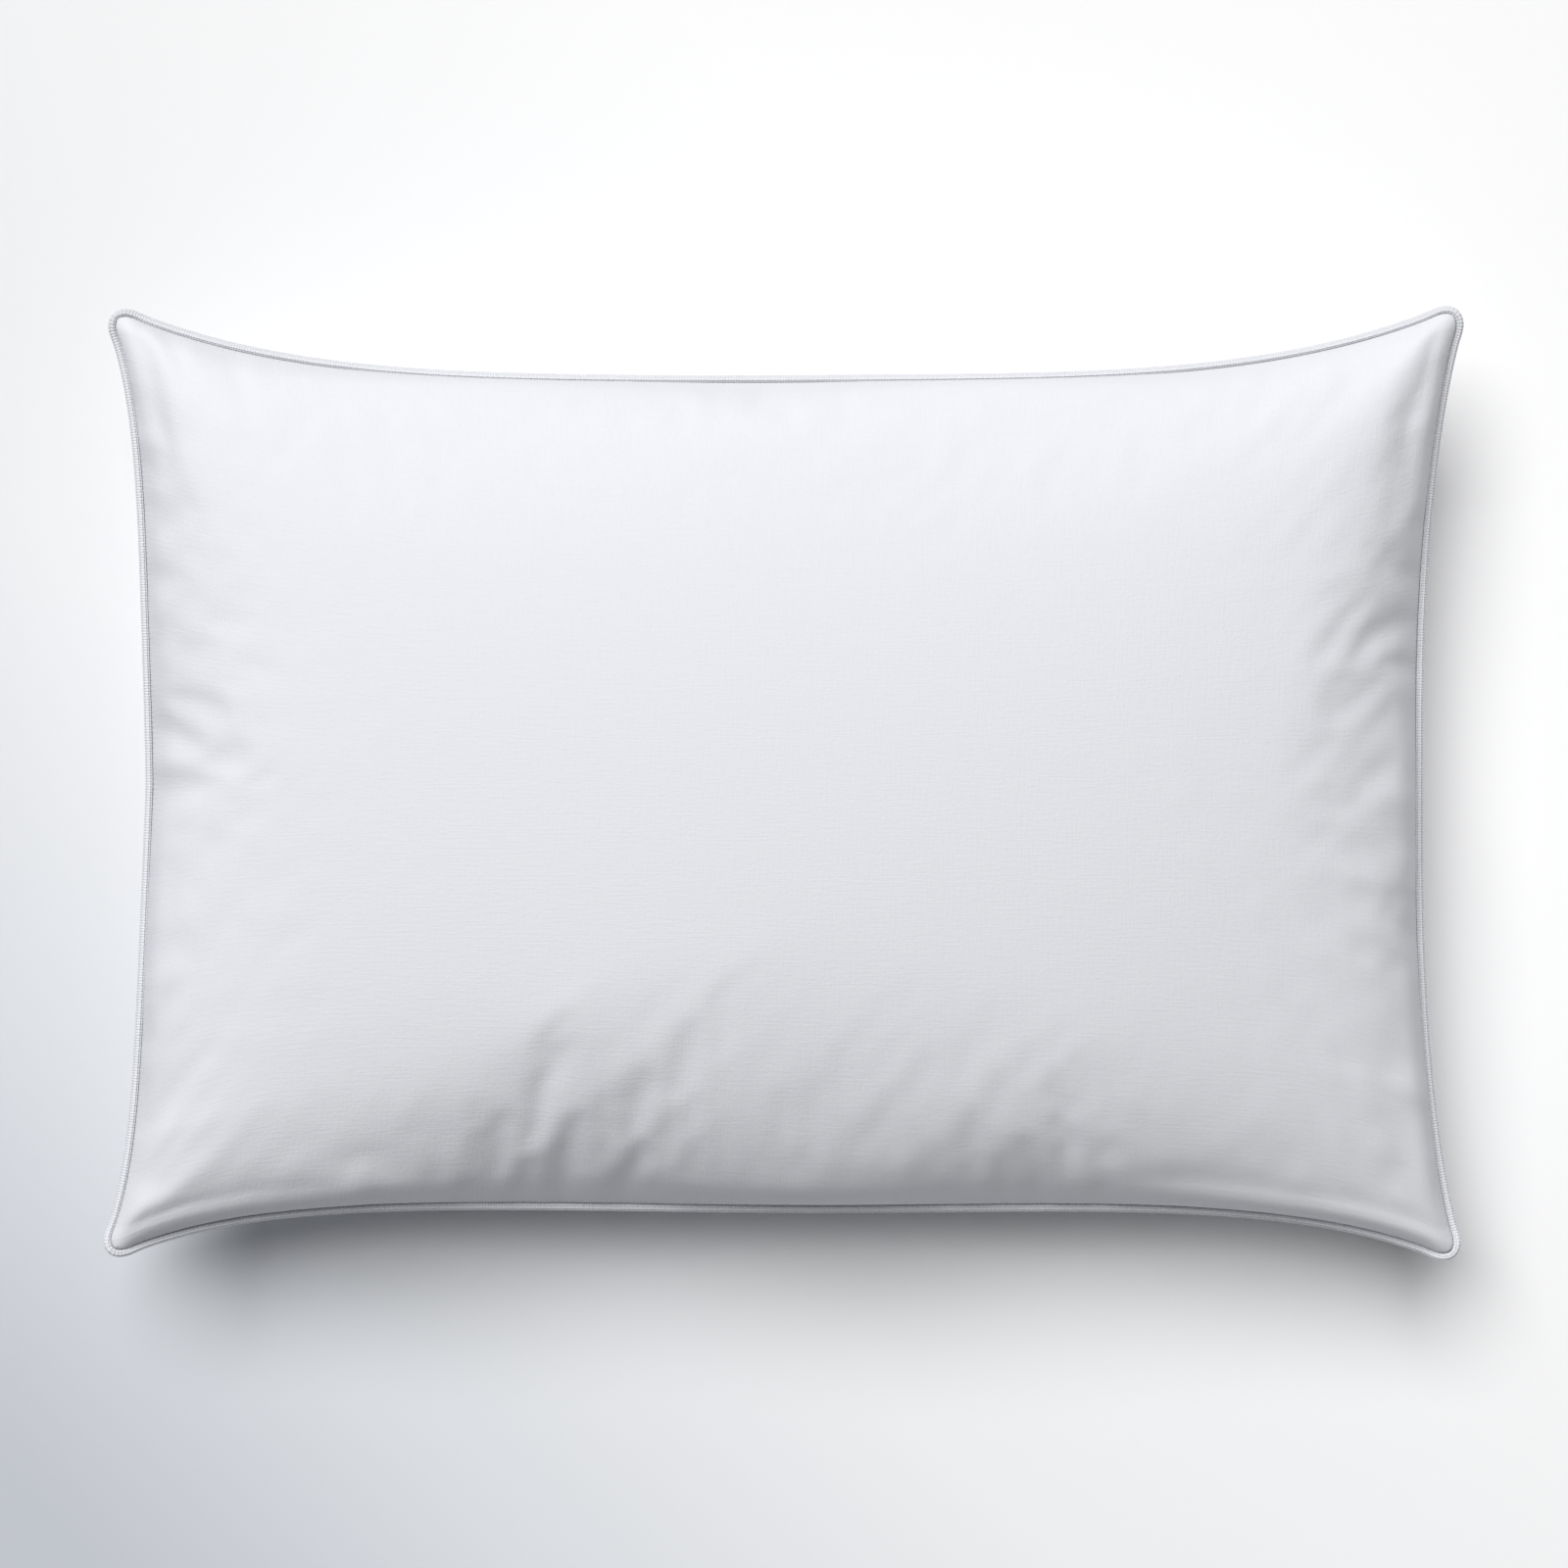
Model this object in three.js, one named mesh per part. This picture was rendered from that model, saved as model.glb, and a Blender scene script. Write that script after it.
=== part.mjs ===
// A piped bed pillow of the 50 x 70 cm size, filled and lying on a flat surface.
// Millimetres, +Z up. The origin is under the middle of the pillow, on the surface it lies on;
// +X runs along its length and +Y across it.
//
// Two ticking panels are sewn together all round with a corded piping between them. Every piece is worked
// out on the flat pattern (X, Y: the empty pillow pressed flat) and then carried to the filled shape, in which
// the sides draw in between the corners and the panels crown above and below the seam.
import * as THREE from "three";

// ---- Driving dimensions ----
const FLAT_LENGTH = 700; // the empty pillow laid flat, over its piping
const FLAT_WIDTH = 500;
const TIP_TAKE_UP = 15.5; // how far filling draws in each side at the corners
const END_TAKE_UP = 37; // and at the middle of each short side
const SIDE_TAKE_UP = 44; // and at the middle of each long side
const SIDE_CURVE = 3; // the power by which the take-up eases off towards the corners
const CROWN = 104; // rise of the top panel over the seam
const SEAM_HEIGHT = 78; // height of the seam over the surface
const CONTACT = 0.62; // share of the bottom panel, from its middle outwards, that is pressed flat
const TICKING = 0.6; // thickness of the panels' and the piping's cloth
const PIPING_DIAMETER = 4;
const SEAM_ALLOWANCE = 6; // width of cloth turned in behind the stitch line
const CORNER_RADIUS = 2; // of the stitch line at the four corners
const THREAD_DIAMETER = 0.4;
const CLEARANCE = 0.3; // between pieces that lie against each other
const OVERLOCK_WIDTH = 0.6; // of the overlock thread round the raw edges, seen from above
const CLOSING_LENGTH = 180; // of the filling gap that is closed by hand in one short side
const LABEL_WIDTH = 32;
const LABEL_DROP = 58; // length of the label from the seam to its free edge, along the cloth
const LABEL_THICKNESS = 0.5;
const LABEL_FROM_CENTRE = 95; // where the label's middle is along its short side

// ---- Sizes that follow ----
const HALF_LENGTH = FLAT_LENGTH / 2 - PIPING_DIAMETER; // the stitch line of the flat pattern
const HALF_WIDTH = FLAT_WIDTH / 2 - PIPING_DIAMETER;
const PIPING_RADIUS = PIPING_DIAMETER / 2;
const BORE_RADIUS = PIPING_RADIUS - TICKING; // inside the piping's cloth
const CORD_RADIUS = BORE_RADIUS - CLEARANCE;
const THREAD_RADIUS = THREAD_DIAMETER / 2;
const TAIL_INNER = CLEARANCE / 2; // the seam's layers, counted out from the seam plane
const TAIL_OUTER = TAIL_INNER + TICKING;
const ALLOWANCE_INNER = TAIL_OUTER + CLEARANCE;
const ALLOWANCE_OUTER = ALLOWANCE_INNER + TICKING;
const FOLD_HEIGHT = (ALLOWANCE_INNER + ALLOWANCE_OUTER) / 2; // where a panel turns in under itself
const BELLY = SEAM_HEIGHT - FOLD_HEIGHT; // from the bottom panel's fold down to the surface
const LEAST_RADIUS = 0.2; // of a mitred corner inside the stitch line

// ---- How finely each piece is divided ----
const LONG_STEPS = 12;
const SHORT_STEPS = 8;
const CORNER_STEPS = 4;
const ROUND = 2 * (LONG_STEPS + SHORT_STEPS + 2 * CORNER_STEPS);
const CROWN_RINGS = 9;
const BORE_STEPS = 8;
const CORD_SIDES = 8;
const THREAD_SIDES = 6;
const CLOSING_STEPS = 12;
const LABEL_STEPS = Math.ceil(LABEL_DROP / 3.5); // fine enough to bend round the flank without cutting in

const cotton = new THREE.MeshStandardMaterial({ color: 0xeceef4, roughness: 0.85, metalness: 0 });
const bias = new THREE.MeshStandardMaterial({ color: 0xf1f2f7, roughness: 0.8, metalness: 0 });
const cordCotton = new THREE.MeshStandardMaterial({ color: 0xe9e6dd, roughness: 0.95, metalness: 0 });
const thread = new THREE.MeshStandardMaterial({ color: 0xf4f5f8, roughness: 0.6, metalness: 0 });
const down = new THREE.MeshStandardMaterial({ color: 0xf3f0ea, roughness: 1, metalness: 0 });
const satin = new THREE.MeshStandardMaterial({ color: 0xfafafa, roughness: 0.45, metalness: 0 });

// ---- The flat pattern ----

// The point at share u of the way round a rounded rectangle that lies `inset` inside the stitch line.
// It runs counter-clockwise from the bottom of the +X side, and steps of 1 / ROUND never cut a corner.
function patternPoint(u, inset) {
  const radius = Math.max(CORNER_RADIUS - inset, LEAST_RADIUS);
  const a = HALF_LENGTH - inset - radius;
  const b = HALF_WIDTH - inset - radius;
  const spans = [
    { steps: SHORT_STEPS, from: [a + radius, -b], to: [a + radius, b] },
    { steps: CORNER_STEPS, centre: [a, b], start: 0 },
    { steps: LONG_STEPS, from: [a, b + radius], to: [-a, b + radius] },
    { steps: CORNER_STEPS, centre: [-a, b], start: Math.PI / 2 },
    { steps: SHORT_STEPS, from: [-a - radius, b], to: [-a - radius, -b] },
    { steps: CORNER_STEPS, centre: [-a, -b], start: Math.PI },
    { steps: LONG_STEPS, from: [-a, -b - radius], to: [a, -b - radius] },
    { steps: CORNER_STEPS, centre: [a, -b], start: (3 * Math.PI) / 2 },
  ];
  let step = (u - Math.floor(u)) * ROUND;
  let passed = 0;
  while (step >= spans[passed].steps) {
    step -= spans[passed].steps;
    passed += 1;
  }
  const span = spans[passed];
  const share = step / span.steps;
  if (span.centre) {
    const angle = span.start + (share * Math.PI) / 2;
    return [span.centre[0] + radius * Math.cos(angle), span.centre[1] + radius * Math.sin(angle)];
  }
  return span.from.map((start, k) => start + (span.to[k] - start) * share);
}

// ---- From the flat pattern to the filled pillow ----

const within = (t) => Math.min(Math.abs(t), 1);
const takeUp = (middle, t) => middle + (TIP_TAKE_UP - middle) * within(t) ** SIDE_CURVE;
const drawn = (t) => 1 - (1 - within(t)) ** 2; // 0 at the centre line, 1 with no slope at the stitch line

// Where a point of the pattern lies in plan once the pillow is filled.
function filledPlan(X, Y) {
  const u = X / HALF_LENGTH;
  const v = Y / HALF_WIDTH;
  return [
    X - Math.sign(X) * takeUp(END_TAKE_UP, v) * drawn(u),
    Y - Math.sign(Y) * takeUp(SIDE_TAKE_UP, u) * drawn(v),
  ];
}

// How far out a point of the pattern lies once it is filled: 0 at the centre, 1 anywhere on the stitch line,
// and even along both centre lines.
function outwards(X, Y) {
  const [x, y] = filledPlan(X, Y);
  const along = within(x / (HALF_LENGTH - takeUp(END_TAKE_UP, Y / HALF_WIDTH)));
  const across = within(y / (HALF_WIDTH - takeUp(SIDE_TAKE_UP, X / HALF_LENGTH)));
  return Math.sqrt(1 - (1 - along ** 2) * (1 - across ** 2));
}

// The outside of the top panel (side 1), elliptical from the seam to the crown, or of the bottom panel
// (side -1), which curls in from the seam until it runs flat along the surface at height 0.
function skin(X, Y, side) {
  const out = outwards(X, Y);
  const [x, y] = filledPlan(X, Y);
  const curled = Math.max(0, (out - CONTACT) / (1 - CONTACT));
  const rise = side > 0 ? CROWN * Math.sqrt(1 - out ** 2) : BELLY * Math.sqrt(1 - curled ** 2);
  return new THREE.Vector3(x, y, SEAM_HEIGHT + side * (FOLD_HEIGHT + rise));
}

// The same surface moved `depth` towards the inside of the pillow, square to the cloth.
function underSkin(X, Y, side, depth) {
  const h = 0.5;
  const alongX = skin(X + h, Y, side).sub(skin(X - h, Y, side));
  const alongY = skin(X, Y + h, side).sub(skin(X, Y - h, side));
  const outward = alongX.cross(alongY).normalize().multiplyScalar(side);
  return skin(X, Y, side).addScaledVector(outward, -depth);
}

// ---- Stations: the points of a piece's cross-section, each carried round the whole pillow ----

// A station on the seam: `inset` inside the stitch line and `height` over the seam plane.
const atSeam = (inset, height) => (u) => {
  const [x, y] = filledPlan(...patternPoint(u, inset));
  return new THREE.Vector3(x, y, SEAM_HEIGHT + height);
};

// A station on a panel: the stitch line shrunk to `share` of its size, `depth` under the skin.
const onPanel = (share, side, depth) => (u) => {
  const [X, Y] = patternPoint(u, 0);
  return underSkin(share * X, share * Y, side, depth);
};

// Stations from the centre of a panel out to its last ring before the seam, evenly spaced along the cloth.
function crownStations(side, depth) {
  const share = (k) => Math.sin((k / CROWN_RINGS) * (Math.PI / 2));
  return Array.from({ length: CROWN_RINGS }, (_, k) => onPanel(share(k), side, depth));
}

// A round section of the piping: points from angle `from` to angle `to`, where 0 points into the pillow.
function arcStations(radius, from, to, count) {
  return Array.from({ length: count + 1 }, (_, k) => {
    const angle = from + ((to - from) * k) / count;
    return atSeam(-PIPING_RADIUS + radius * Math.cos(angle), radius * Math.sin(angle));
  });
}

// A closed solid through `rings`, each a closed list of points. With `loop` the last ring joins the first;
// without it the first and the last ring are each one point over and over. Every four-sided patch is split
// along its shorter diagonal, so that layers lying over each other are split alike and stay apart.
function solid(name, material, rings, loop) {
  const around = rings[0].length;
  const joins = loop ? rings.length : rings.length - 1;
  const points = rings.flat();
  const at = (ring, step) => (ring % rings.length) * around + (step % around);
  const index = [];
  for (let ring = 0; ring < joins; ring++) {
    for (let step = 0; step < around; step++) {
      const a = at(ring, step);
      const b = at(ring, step + 1);
      const c = at(ring + 1, step + 1);
      const d = at(ring + 1, step);
      const acIsShorter = points[a].distanceTo(points[c]) < points[b].distanceTo(points[d]);
      index.push(...(acIsShorter ? [a, b, c, a, c, d] : [a, b, d, b, c, d]));
    }
  }
  const geometry = new THREE.BufferGeometry().setFromPoints(points).setIndex(index);
  geometry.computeVertexNormals();
  const mesh = new THREE.Mesh(geometry, material);
  mesh.name = name;
  return mesh;
}

// A solid from stations that are each carried all round the pillow. They run clockwise with the inside of the
// pillow on their right; a panel's or the fill's first and last stations are at its centre.
function carriedRound(name, material, stations, loop) {
  const rings = stations.map((station) => Array.from({ length: ROUND }, (_, k) => station(k / ROUND)));
  return solid(name, material, rings, loop);
}

// A strip through `sections`, each listed clockwise as seen looking along the strip, closed at both ends.
function strip(name, material, sections) {
  const cap = (section) => {
    const middle = section.reduce((sum, p) => sum.add(p), new THREE.Vector3()).divideScalar(section.length);
    return section.map(() => middle);
  };
  const rings = [cap(sections[0]), ...sections, cap(sections.at(-1))];
  return solid(name, material, rings, false);
}

// ---- The pieces ----

// A ticking panel: its crowned outside, the edge turned in at the stitch line as a seam allowance, and its
// inside, back to the centre.
function panel(name, side) {
  const stations = [
    ...crownStations(side, 0),
    atSeam(0, side * FOLD_HEIGHT),
    atSeam(TICKING / 2, side * ALLOWANCE_INNER),
    atSeam(SEAM_ALLOWANCE, side * ALLOWANCE_INNER),
    atSeam(SEAM_ALLOWANCE, side * ALLOWANCE_OUTER),
    atSeam(1.5 * TICKING, side * ALLOWANCE_OUTER),
    ...crownStations(side, TICKING).reverse(),
  ];
  return carriedRound(name, cotton, side > 0 ? stations.reverse() : stations, false);
}

// The bias strip folded round the cord, with its two tails lying between the panels' seam allowances.
function pipingCover() {
  const outer = Math.asin(TAIL_OUTER / PIPING_RADIUS);
  const inner = Math.asin(TAIL_INNER / BORE_RADIUS);
  const stations = [
    ...arcStations(PIPING_RADIUS, 2 * Math.PI - outer, outer, BORE_STEPS),
    atSeam(SEAM_ALLOWANCE, TAIL_OUTER),
    atSeam(SEAM_ALLOWANCE, TAIL_INNER),
    ...arcStations(BORE_RADIUS, inner, 2 * Math.PI - inner, BORE_STEPS),
    atSeam(SEAM_ALLOWANCE, -TAIL_INNER),
    atSeam(SEAM_ALLOWANCE, -TAIL_OUTER),
  ];
  return carriedRound("piping_cover", bias, stations, true);
}

function pipingCord() {
  const stations = arcStations(CORD_RADIUS, 2 * Math.PI, 0, CORD_SIDES).slice(0, -1);
  return carriedRound("piping_cord", cordCotton, stations, true);
}

// The round section of a thread whose middle is `inset` and `height` from the stitch line.
function threadStations(inset, height) {
  return Array.from({ length: THREAD_SIDES }, (_, k) => {
    const angle = (k / THREAD_SIDES) * 2 * Math.PI;
    return atSeam(inset + THREAD_RADIUS * Math.cos(angle), height - THREAD_RADIUS * Math.sin(angle));
  });
}

// The thread lies in the ditch between the piping and a panel, clear of both.
const DITCH_INSET = -(THREAD_RADIUS + CLEARANCE);
const DITCH_HEIGHT = Math.sqrt(
  (PIPING_RADIUS + THREAD_RADIUS + CLEARANCE) ** 2 - (PIPING_RADIUS + DITCH_INSET) ** 2,
);

function seamThread(name, side) {
  return carriedRound(name, thread, threadStations(DITCH_INSET, side * DITCH_HEIGHT), true);
}

// The overlock that binds the raw edges of both panels and both piping tails, inside the pillow.
function overlockThread() {
  const near = SEAM_ALLOWANCE + CLEARANCE;
  const far = near + OVERLOCK_WIDTH;
  const stations = [
    atSeam(near, -ALLOWANCE_OUTER),
    atSeam(near, ALLOWANCE_OUTER),
    atSeam(far, ALLOWANCE_OUTER),
    atSeam(far, -ALLOWANCE_OUTER),
  ];
  return carriedRound("overlock_thread", thread, stations, true);
}

// The hand stitches that close the filling gap, just under the bottom row of the seam in the +X side.
function closingThread() {
  const height = -(DITCH_HEIGHT + THREAD_DIAMETER + CLEARANCE);
  const stations = threadStations(DITCH_INSET, height).reverse();
  const middle = SHORT_STEPS / 2 / ROUND;
  const reach = (CLOSING_LENGTH / (4 * HALF_WIDTH)) * (SHORT_STEPS / ROUND);
  const sections = Array.from({ length: CLOSING_STEPS + 1 }, (_, k) => {
    const u = middle + reach * ((2 * k) / CLOSING_STEPS - 1);
    return stations.map((station) => station(u));
  });
  return strip("closing_thread", thread, sections);
}

// The down: one lens between the panels, whose rim goes round the turned-in seam.
function downFill() {
  const depth = TICKING + CLEARANCE;
  const rimInset = SEAM_ALLOWANCE + OVERLOCK_WIDTH + 3 * CLEARANCE;
  const rimHeight = ALLOWANCE_OUTER + CLEARANCE;
  const stations = [
    ...crownStations(-1, depth),
    atSeam(rimInset, -rimHeight),
    atSeam(rimInset, rimHeight),
    ...crownStations(1, depth).reverse(),
  ];
  return carriedRound("down_fill", down, stations, false);
}

// The pattern X at which the bottom panel's cloth has run `drop` inwards from the -X side's stitch line.
function patternAlong(drop, Y) {
  const stride = 0.02;
  let X = -HALF_LENGTH;
  let run = 0;
  let last = skin(X, Y, -1);
  while (run < drop) {
    X += stride;
    const next = skin(X, Y, -1);
    run += next.distanceTo(last);
    last = next;
  }
  return X;
}

// The blank care label: a tape that hangs from the seam in the -X side, lying back against the bottom panel.
function careLabel() {
  const first = DITCH_HEIGHT + THREAD_RADIUS + CLEARANCE - FOLD_HEIGHT;
  const sections = Array.from({ length: LABEL_STEPS + 1 }, (_, k) => {
    const drop = first + (LABEL_DROP * k) / LABEL_STEPS;
    const X = patternAlong(drop, -LABEL_FROM_CENTRE);
    const at = (across, lift) => underSkin(X, across * (LABEL_WIDTH / 2) - LABEL_FROM_CENTRE, -1, -lift);
    const back = [1, 0, -1].map((across) => at(across, CLEARANCE));
    const front = [-1, 0, 1].map((across) => at(across, CLEARANCE + LABEL_THICKNESS));
    return [...back, ...front];
  });
  return strip("care_label", satin, sections);
}

const pillow = new THREE.Group();
pillow.add(
  panel("top_panel", 1),
  panel("bottom_panel", -1),
  pipingCover(),
  pipingCord(),
  seamThread("seam_thread_top", 1),
  seamThread("seam_thread_bottom", -1),
  overlockThread(),
  closingThread(),
  downFill(),
  careLabel(),
);

export default pillow;
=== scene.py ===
# %% [markdown]
# # A bed pillow with a piped edge
# The real pillow is a bag: two panels of close-woven cotton, sewn together all round with a corded piping
# between them, filled with down through a gap that is closed by hand. Everything that gives it its look
# comes from how it is made. Flat panels can't cover a rounded body, so filling the bag draws its sides in
# between the corners and leaves a little too much cloth along the seam, which puckers.
#
# So this scene is made in the same order: cut the panels, sew the seam, fill the bag with a cloth
# simulation, and then lay the piping, the threads and the label along the seam line that comes out of it.

import bpy
import numpy as np
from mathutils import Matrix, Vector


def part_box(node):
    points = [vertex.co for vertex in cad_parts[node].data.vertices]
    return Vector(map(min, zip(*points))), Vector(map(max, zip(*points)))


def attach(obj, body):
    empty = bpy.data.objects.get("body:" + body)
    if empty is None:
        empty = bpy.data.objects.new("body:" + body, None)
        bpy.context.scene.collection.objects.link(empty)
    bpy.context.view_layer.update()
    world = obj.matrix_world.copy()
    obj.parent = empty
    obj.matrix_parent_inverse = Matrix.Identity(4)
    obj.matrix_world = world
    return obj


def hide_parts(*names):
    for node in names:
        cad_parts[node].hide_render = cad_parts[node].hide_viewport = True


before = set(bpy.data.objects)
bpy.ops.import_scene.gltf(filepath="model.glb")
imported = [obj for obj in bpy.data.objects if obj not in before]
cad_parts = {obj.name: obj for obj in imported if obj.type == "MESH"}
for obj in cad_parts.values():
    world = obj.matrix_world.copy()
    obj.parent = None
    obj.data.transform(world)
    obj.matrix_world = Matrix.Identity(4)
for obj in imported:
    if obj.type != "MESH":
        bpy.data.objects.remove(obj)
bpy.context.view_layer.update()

piping_low, piping_high = (np.array(corner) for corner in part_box("piping_cover"))
panel_high = np.array(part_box("top_panel")[1])
label_low, label_high = (np.array(corner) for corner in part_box("care_label"))
closing_low, closing_high = (np.array(corner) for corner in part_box("closing_thread"))

seam_z = (piping_low[2] + piping_high[2]) / 2
crown = panel_high[2] - seam_z
tip = panel_high[:2]  # the stitch line at the corners of the filled pillow
print("seam height", seam_z, "crown over the seam", crown, "corner tips at", tip)

# %% [markdown]
# ## Camera, floor and light
# The pillow is looked at from straight above with a long lens, which keeps its outline free of perspective.
# It lies on a pale floor. One wide soft lamp stands far off above its far side, a little to the left: being
# wide, it gives the shadow a soft edge and lets the panel shade off gently down its near slope. A faint
# pale sky and the light that the floor throws back fill in the rest.
#
# Two things here are drawn and not lit. The floor's colour carries painted shade: it runs from a cool grey at
# its near left to white at its far right, a fall of light painted into the floor. The sky is paler where it is
# looked at than where it shines on the pillow.

# %% Camera
VIEW_WIDTH = 0.771  # how much of the seam's plane the picture takes in
CAMERA_RISE = 1.9  # over the seam's plane
SENSOR = 36.0

camera = bpy.data.objects.new("camera", bpy.data.cameras.new("camera"))
bpy.context.collection.objects.link(camera)
camera.location = (0, 0, seam_z + CAMERA_RISE)
camera.data.sensor_width = SENSOR
camera.data.lens = SENSOR * CAMERA_RISE / VIEW_WIDTH
bpy.context.scene.camera = camera
bpy.context.scene.view_settings.view_transform = "Standard"
print("lens", round(camera.data.lens, 1), "mm")


# %% Light
TILT = np.radians(30)  # of the light, from straight overhead
HEADING = np.radians(117)  # from the +X axis, anticlockwise: the far side, a little to the left
WIDTH = np.radians(40)  # how wide the lamp looks from the pillow
LAMP = 3.1  # strength of the lamp
SKY = 0.13  # how strongly the sky lights the pillow
BACKDROP = 0.75  # how much brighter the sky is where it is looked at, behind the floor's edge


def far_lamp(name, tilt, heading, width, strength):
    """A lamp so far off that it lights the whole floor alike. Turned by `tilt` about Y, then `heading` about Z,
    it shines from (sin tilt cos heading, sin tilt sin heading, cos tilt)."""
    lamp = bpy.data.lights.new(name, "SUN")
    lamp.angle = width
    lamp.energy = strength
    holder = bpy.data.objects.new(name, lamp)
    holder.rotation_euler = (0, tilt, heading)
    bpy.context.collection.objects.link(holder)
    return holder


far_lamp("key_light", TILT, HEADING, WIDTH, LAMP)
sky = bpy.data.worlds.new("sky")
sky.use_nodes = True
sky.node_tree.nodes["Background"].inputs["Color"].default_value = (0.97, 0.98, 1.0, 1)
looked_at = sky.node_tree.nodes.new("ShaderNodeLightPath").outputs["Is Camera Ray"]
glow = sky.node_tree.nodes.new("ShaderNodeMath")
glow.operation = "MULTIPLY_ADD"
glow.inputs[1].default_value = BACKDROP
glow.inputs[2].default_value = SKY
sky.node_tree.links.new(looked_at, glow.inputs[0])
sky.node_tree.links.new(glow.outputs[0], sky.node_tree.nodes["Background"].inputs["Strength"])
bpy.context.scene.world = sky


# %% [markdown]
# ## A few tools for materials
# A node material is a small net of boxes. These helpers put a box down, set what it is given by name, and
# link it, so that each material below can be read from top to bottom.

# %% Node helpers
def material(name, colour, roughness, sheen=0.0):
    """A Principled material with its constant values set, and the tools to wire more into it."""
    made = bpy.data.materials.new(name)
    made.use_nodes = True
    shader = made.node_tree.nodes["Principled BSDF"]
    shader.inputs["Base Color"].default_value = (*colour, 1)
    shader.inputs["Roughness"].default_value = roughness
    shader.inputs["Sheen Weight"].default_value = sheen
    shader.inputs["Sheen Roughness"].default_value = 0.45
    shader.inputs["Specular IOR Level"].default_value = 0.15
    return made, shader


def add(made, kind, settings=None, **inputs):
    """One node of that kind. `settings` are its own choices, and `inputs` are values or sockets to link."""
    box = made.node_tree.nodes.new("ShaderNode" + kind)
    for key, value in (settings or {}).items():
        setattr(box, key, value)
    for key, value in inputs.items():
        socket = box.inputs[int(key[1:])] if key[1:].isdigit() else box.inputs[key.replace("_", " ")]
        if isinstance(value, bpy.types.NodeSocket):
            made.node_tree.links.new(value, socket)
        else:
            socket.default_value = value
    return box


def link(made, output, socket):
    made.node_tree.links.new(output, socket)


def maths(made, operation, a, b=0.0):
    """The result of one sum, such as MULTIPLY, on two sockets or numbers."""
    return add(made, "Math", {"operation": operation}, _0=a, _1=b).outputs[0]


def spread(made, value, low, high):
    """Stretches a 0 to 1 value over low to high."""
    return add(made, "MapRange", None, Value=value, To_Min=low, To_Max=high).outputs["Result"]


# %% Floor
FLOOR_SIZE = 6.0

floor_mesh = bpy.data.meshes.new("floor")
half = FLOOR_SIZE / 2
floor_corners = [(-half, -half, 0), (half, -half, 0), (half, half, 0), (-half, half, 0)]
floor_mesh.from_pydata(floor_corners, [], [(0, 1, 2, 3)])
floor = bpy.data.objects.new("floor", floor_mesh)
bpy.context.collection.objects.link(floor)
paper, paper_shader = material("pale_floor", (0.9, 0.9, 0.9), 0.9)
# Painted shade: the floor's base colour is a ramp from cool grey at its near left to white at its far right.
place = add(paper, "TexCoord").outputs["Object"]
across = add(paper, "VectorMath", {"operation": "DOT_PRODUCT"}, _0=place, _1=(1.0, 1.0, 0.0)).outputs["Value"]
floor_shade_fade = add(paper, "MapRange", None, Value=across, From_Min=-0.75, From_Max=0.35).outputs["Result"]
painted_floor_shade = add(paper, "ValToRGB", None, Fac=floor_shade_fade)
for where, shade in ((0.2, (0.70, 0.72, 0.75)), (0.45, (0.85, 0.855, 0.865))):
    painted_floor_shade.color_ramp.elements.new(where).color = (*shade, 1)
painted_floor_shade.color_ramp.elements[0].color = (0.545, 0.565, 0.61, 1)
painted_floor_shade.color_ramp.elements[-1].color = (0.965, 0.965, 0.965, 1)
link(paper, painted_floor_shade.outputs["Color"], paper_shader.inputs["Base Color"])
floor_mesh.materials.append(paper)

# %% [markdown]
# ## Cutting the panels
# Both panels are cut alike, from a rectangle of cloth. A square grid of cells is drawn on the cloth, and
# each crossing keeps its place on the flat cut (`X`, `Y`) for good: the weave will follow those numbers
# later, however the cloth is bent. The two grids share their outermost crossings, which is where they are
# sewn together.

# %% The cut
FLAT = np.array([0.700, 0.500])  # the empty pillow, over its piping
PIPING = 0.004  # across the piping
CELL = 0.0055
cut = FLAT / 2 - PIPING  # half the cut, out to the stitch line
cells = 2 * np.round(cut / CELL).astype(int)
X, Y = np.meshgrid(*(np.linspace(-h, h, n + 1) for h, n in zip(cut, cells)), indexing="ij")
U, V = X / cut[0], Y / cut[1]
on_seam = (np.maximum(np.abs(U), np.abs(V)) > 1 - 1e-9)
print("cells", cells, "each", round(CELL * 1000, 1), "mm; crossings on the seam", int(on_seam.sum()))

# %% [markdown]
# ## How far filling draws the sides in
# Each side of a filled pillow curves inwards between its corners. The curve isn't the same on all four
# sides, because the down is never quite even: the far side is drawn in a long bow, the near side more
# squarely with a slight belly in its middle, and the left side comes to a soft point at its middle.


# %% The four sides
def bow(t, depth, power):
    """Depth at the middle of a side (t = 0) that eases to nothing at its corners (t = -1 and 1), as
    1 - |t|^power."""
    return depth * (1 - np.abs(t) ** power)


CORNER_SPARE = 0.004  # rounding a corner shortens it, so the sides flare out by this much towards it
corner_take = cut - tip - CORNER_SPARE  # what the corners themselves have moved in
flare_x, flare_y = bow(U, CORNER_SPARE, 8.0), bow(V, CORNER_SPARE, 8.0)
far_side = corner_take[1] + flare_x + bow(U, 0.0328, 3.8) - 0.00075 * U
near_side = corner_take[1] + flare_x + bow(U, 0.0262, 5.0) - 0.0028 * (1 - U**2) ** 2 + 0.0009 * (U**2 - U)
left_side = corner_take[0] + flare_y + bow(V, 0.0106, 6.0) + bow(V, 0.0094, 1.2) + 0.00125 * (V**2 + V)
right_side = corner_take[0] + flare_y + bow(V, 0.0201, 2.6) + 0.0017 * V**2 - 0.0007 * V
take_x = np.where(X > 0, right_side, left_side)
take_y = np.where(Y > 0, far_side, near_side)


def drawn(t):
    """How much of the take-up reaches a point: 0 at the centre line and 1, with no slope, at the seam."""
    return 1 - (1 - np.abs(t)) ** 2


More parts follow.
